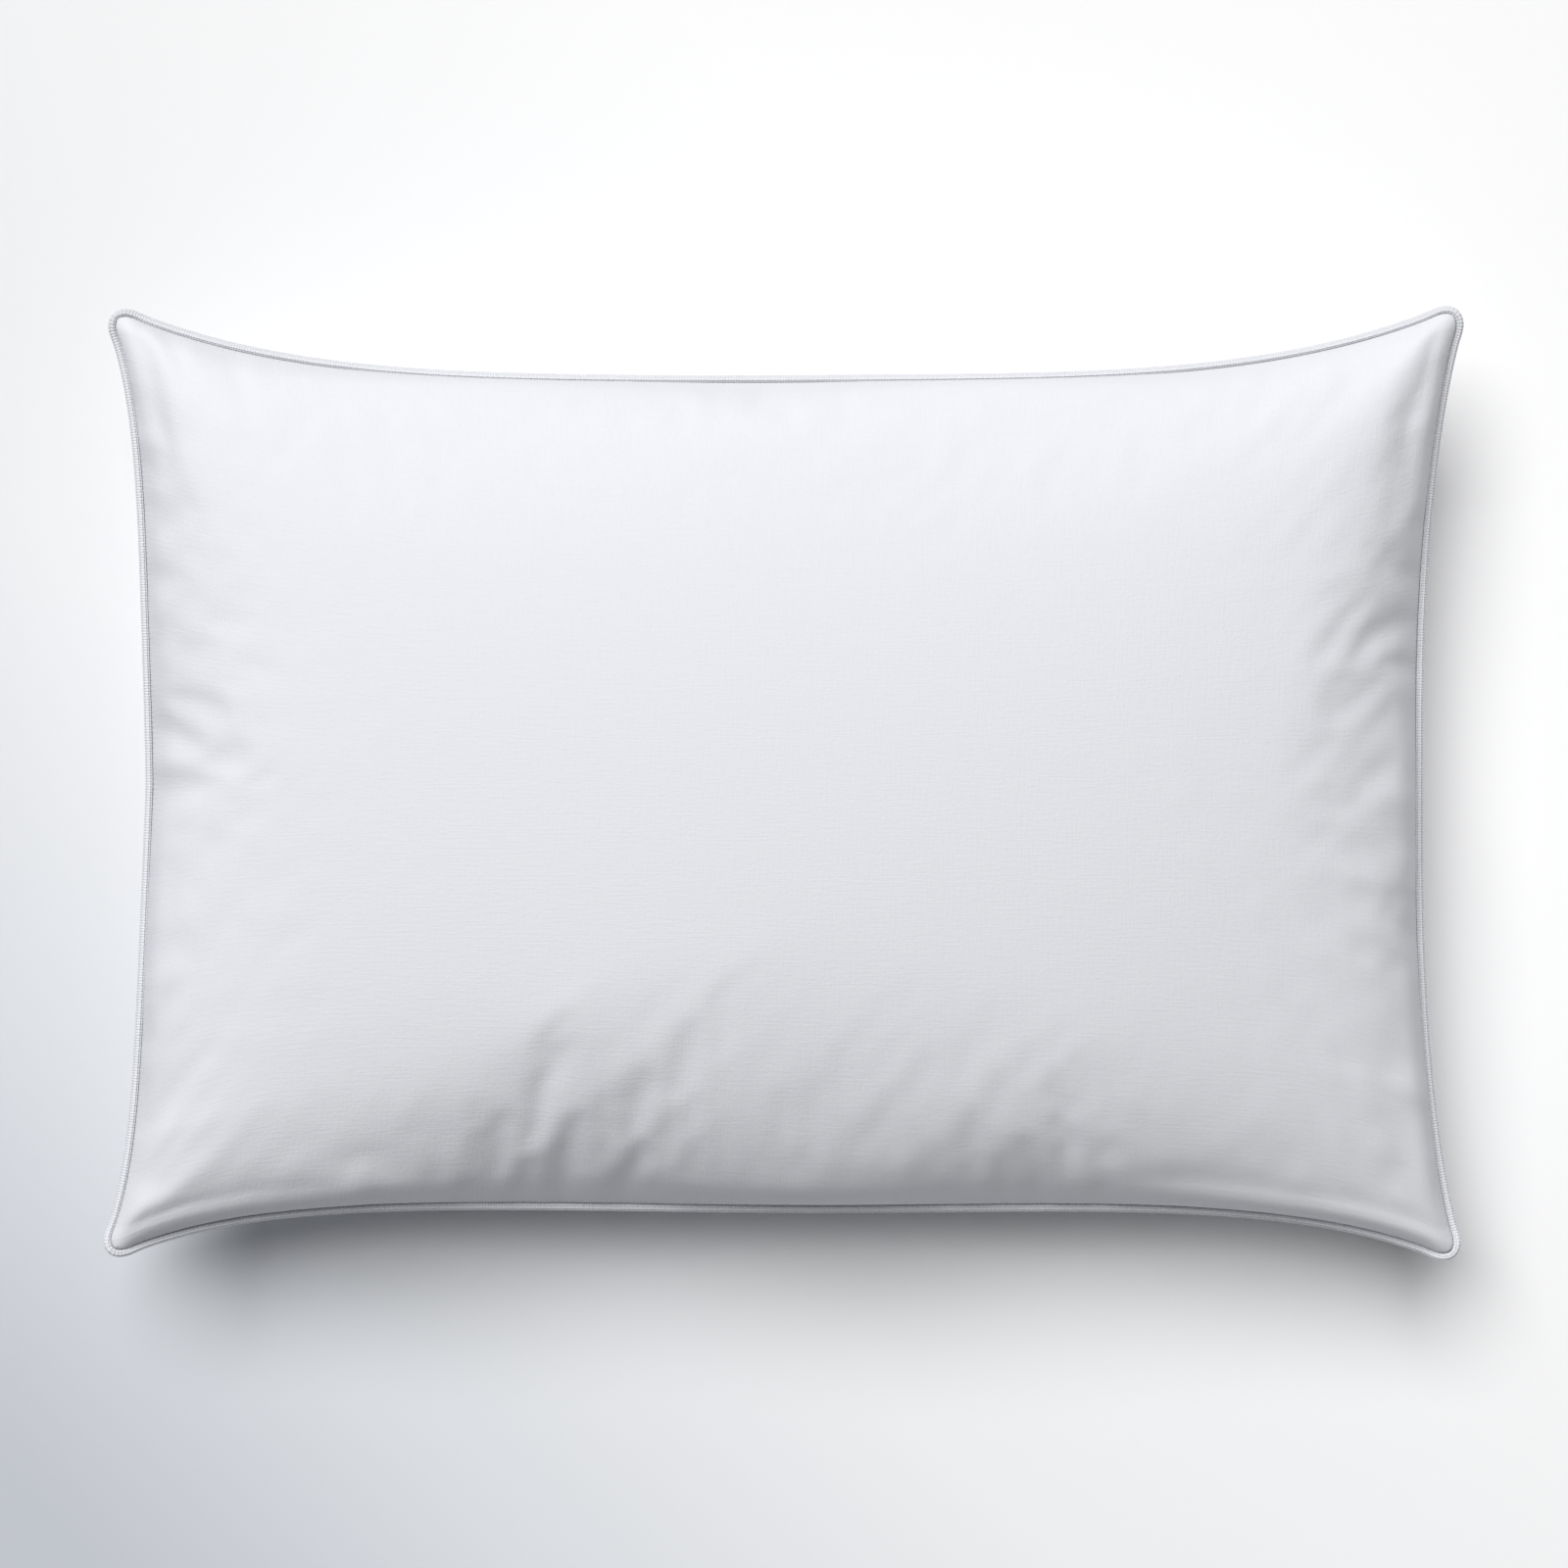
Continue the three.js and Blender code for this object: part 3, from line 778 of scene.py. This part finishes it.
def on_seam_at(run, outward, up):
    """Points at distances `run` along the stitch line, moved `outward` and `up`. All three have one shape."""
    lap = np.append(seam_run, seam_length)
    columns = (*stitch_line.T, *out.T)
    row = [np.interp(run % seam_length, lap, np.append(values, values[0])) for values in columns]
    normal = unit(np.stack(row[3:], -1))
    plan = np.stack(row[:2], -1) + outward[..., None] * normal
    return np.concatenate([plan, (row[2] + up)[..., None]], -1)


def stitches(name, starts, length, outward, up, node, slant=0.0, radius=THREAD / 2):
    """A row of stitches. Along one stitch t runs from 0 to 1, its radius is r (0.3 + 0.7 sin(pi t)), and it
    sinks at both ends by its own thickness."""
    t = RINGS[None, :, None]
    angle = np.linspace(0, 2 * np.pi, SIDES, endpoint=False)[None, None, :]
    swell = radius * (0.3 + 0.7 * np.sin(np.pi * t)) * (t > 0) * (t < 1)
    run = starts[:, None, None] + length * t + 0 * angle
    away = outward + slant * (t - 0.5) + swell * np.cos(angle)
    dive = 2 * radius * (np.abs(2 * t - 1) ** 3) * np.sign(up)
    grid = on_seam_at(run, away + 0 * run, up - dive + swell * np.sin(angle) + 0 * run)
    rows = wrapped_faces(len(RINGS), SIDES, wrap_columns=True)
    steps = np.arange(len(starts))[:, None, None] * len(RINGS) * SIDES
    made = piece(name, grid, (rows[None] + steps).reshape(-1, 4), thread_cotton)
    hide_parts(node)
    return made


STITCH = 0.0027
THREAD_OUT, THREAD_UP = 0.0014, 0.00205  # where a row lies from the stitch line, in the ditch by the piping
count = round(seam_length / STITCH)
starts = np.arange(count) * seam_length / count
stitches("top_stitches", starts, STITCH * 0.74, THREAD_OUT, THREAD_UP, "seam_thread_top")
stitches("bottom_stitches", starts, STITCH * 0.74, THREAD_OUT, -THREAD_UP, "seam_thread_bottom")

# %% [markdown]
# The pillow is filled through a gap in one short side, and then that gap is closed by hand: slanted
# stitches, a little longer and less even than the machine's, that catch the bottom panel's fold and the
# piping in turn.

# %% Closing stitches
HAND_STITCH = 0.005

lap_middle = seam_run[np.argmax(stitch_line[:, 0] - 10 * np.abs(stitch_line[:, 1]))]
reach = (closing_high[1] - closing_low[1]) / 2
hand_count = int(2 * reach / HAND_STITCH)
hand_starts = lap_middle - reach + np.arange(hand_count) * HAND_STITCH
hand_starts += seeded.normal(0, 0.0003, hand_count)
stitches(
    "closing_stitches",
    hand_starts,
    HAND_STITCH * 0.6,
    outward=0.0006,
    up=-0.0024,
    node="closing_thread",
    slant=0.0022,
    radius=0.0003,
)

# %% [markdown]
# Inside, an overlock thread loops over the raw edges of all four layers to stop them fraying. It is one
# thread that swings in and out as it goes round, and over and under the edge.


# %% Overlock
LOOP = 0.003
EDGE = -0.0068


def tube(path, radius, sides=5):
    """A closed tube of one radius round a closed path. Its rings stand across the path, on the two directions
    that are square to it: side = forward x up, and forward x side."""
    forward = unit(np.roll(path, -1, 0) - np.roll(path, 1, 0))
    side = unit(np.cross(forward, [0.0, 0.0, 1.0]) + 1e-9)
    above = np.cross(side, forward)
    angle = np.linspace(0, 2 * np.pi, sides, endpoint=False)[None, :, None]
    return path[:, None] + radius * (np.cos(angle) * side[:, None] + np.sin(angle) * above[:, None])


loops = round(seam_length / LOOP)
steps = np.arange(loops * 6) / 6
swing = 2 * np.pi * steps
overlock_run = steps * seam_length / loops
shrink = EDGE - 0.0006 * np.cos(swing)
line = on_seam_at(overlock_run, np.zeros(len(steps)), 0.0018 * np.sin(swing))
line[:, :2] *= 1 + shrink[:, None] / tip
overlock_grid = tube(line, THREAD / 2)
overlock_faces = wrapped_faces(*overlock_grid.shape[:2], wrap_rows=True, wrap_columns=True)
overlock = piece("overlock_loops", overlock_grid, overlock_faces, thread_cotton)
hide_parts("overlock_thread")

# %% [markdown]
# ## Down
# The filling is loose, but together it takes the bag's own shape, a few millimetres inside the cloth and
# with soft lumps. It is made from every third crossing of the bag, shrunk about the seam's plane.

# %% Down
THIN = 3
down_fluff, down_shader = material("down", (0.93, 0.92, 0.90), 1.0, sheen=0.6)
down_object = add(down_fluff, "TexCoord").outputs["Object"]
clusters = cloud(down_fluff, down_object, 0.02, detail=6.0)
tinted(down_fluff, down_shader, clusters, (0.86, 0.85, 0.82), (0.96, 0.95, 0.93))
bump(down_fluff, down_shader, [(clusters, 0.006, 0.8)])


def thinned(count):
    """About every third grid line, with the first and the last."""
    return np.round(np.linspace(0, count, count // THIN + 1)).astype(int)


rows, columns = thinned(cells[0]), thinned(cells[1])
fewer = np.ix_(rows, columns)
shrunk = np.array([0.975, 0.965, 0.95])
middle = np.array([0, 0, seam_z])
lumpy = 0.0015 * np.sin(X[fewer] / 0.023 + 2 * np.sin(Y[fewer] / 0.031))
top_down = middle + (top_grid[fewer] - middle) * shrunk - lumpy[..., None] * [0, 0, 1]
bottom_down = middle + (bottom_grid[fewer] - middle) * shrunk
down_index = np.arange(rows.size * columns.size).reshape(rows.size, columns.size)
down_rim = on_seam[fewer]
under_index = down_index.copy()
under_index[~down_rim] = down_index.size + np.arange((~down_rim).sum())
down_points = np.concatenate([top_down.reshape(-1, 3), bottom_down[~down_rim]])
down_faces = np.concatenate([cell_faces(down_index), cell_faces(under_index, turned=True)])
down = piece("down_filling", down_points, down_faces, down_fluff)
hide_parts("down_fill")

# %% [markdown]
# ## Care label
# A short satin ribbon is caught in the seam under the left side. It hangs down the flank, held off it by
# its own stiffness, and is left blank. Its path is the bottom panel's own profile, measured along from the
# seam and moved outwards a little more towards the free end.

# %% Label finish
satin, satin_shader = material("label_satin", (0.90, 0.90, 0.91), 0.35, sheen=0.1)
satin_place = cut_place(satin)
ribs = weave(satin, satin_place, 0.0003)
cloudy = cloud(satin, satin_place, 0.01)
tinted(satin, satin_shader, cloudy, (0.88, 0.88, 0.89), (0.92, 0.92, 0.93))
link(satin, spread(satin, cloudy, 0.3, 0.42), satin_shader.inputs["Roughness"])
bump(satin, satin_shader, [(ribs, 0.00004, 0.5)])

# %% Label
LABEL = (0.032, 0.058)
LABEL_GAP = 0.0014
LABEL_LIFT = 0.004
RIBBON = 0.0004

label_y = (label_low[1] + label_high[1]) / 2
column = int(np.argmin(np.abs(bottom_grid[0, :, 1] - label_y)))
flank = bottom_grid[: cells[0] // 4, column][:, [0, 2]]
flank_run = np.concatenate([[0], np.cumsum(np.linalg.norm(np.diff(flank, axis=0), axis=1))])
down_label = np.linspace(0, LABEL[1], 30)
profile = np.stack([np.interp(down_label, flank_run, flank[:, k]) for k in (0, 1)], -1)
slope = unit(np.gradient(profile, axis=0))
clear = LABEL_GAP + LABEL_LIFT * (down_label / LABEL[1]) ** 2
profile = profile + clear[:, None] * np.stack([slope[:, 1], -slope[:, 0]], -1)
profile[:, 1] -= 0.0016
lengths = np.concatenate([[0], np.cumsum(np.linalg.norm(np.diff(profile, axis=0), axis=1))])
profile = np.stack([np.interp(down_label, lengths, profile[:, k]) for k in (0, 1)], -1)
across_label = np.linspace(-LABEL[0] / 2, LABEL[0] / 2, 13)
curl = 0.0015 * (down_label[:, None] / LABEL[1]) * (across_label[None, :] / LABEL[0] * 2) ** 2
label_x = profile[:, :1] - curl
label_z = profile[:, 1:] + 0 * curl
label_grid = np.stack([label_x, label_y + across_label[None, :] + 0 * curl, label_z], -1)
label_uv = np.stack(np.broadcast_arrays(across_label[None, :], down_label[:, None]), -1)
label_faces = wrapped_faces(*label_grid.shape[:2])
label = piece("care_ribbon", label_grid, label_faces, satin, uv=label_uv, closed=False)
ribbon = label.modifiers.new("thickness", "SOLIDIFY")
ribbon.thickness = RIBBON
ribbon.offset = 0
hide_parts("care_label")
